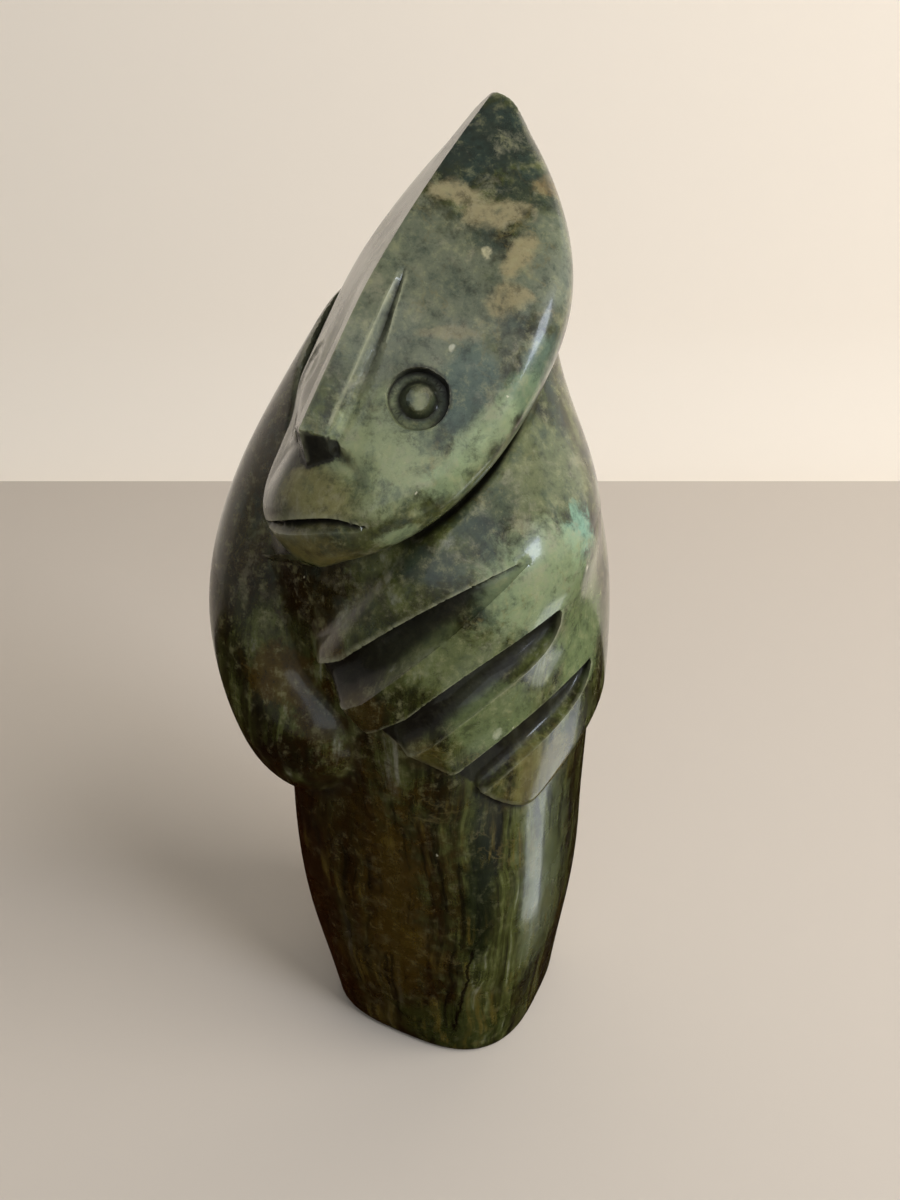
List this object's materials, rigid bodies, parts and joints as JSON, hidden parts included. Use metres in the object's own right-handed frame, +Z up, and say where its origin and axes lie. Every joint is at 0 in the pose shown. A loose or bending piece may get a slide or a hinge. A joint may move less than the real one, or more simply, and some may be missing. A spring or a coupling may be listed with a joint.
{
  "type": "abstract stone sculpture",
  "caption": "Abstract standing stone figure hugging itself, with a pointed folded face and ring-cut eyes, carved in one piece on a flat foot.",
  "frame": {"origin": "middle of the figure's outline seen from above, at the level of its flat underside", "axes": "+Z up the figure's height, -Y the way its face looks, +X towards its left hand side"},
  "size_m": [0.1158, 0.116, 0.3012],
  "materials": {
    "stone": "polished"
  },
  "bodies": {
    "root": {"stone_figure": "stone"}
  },
  "joints": []
}
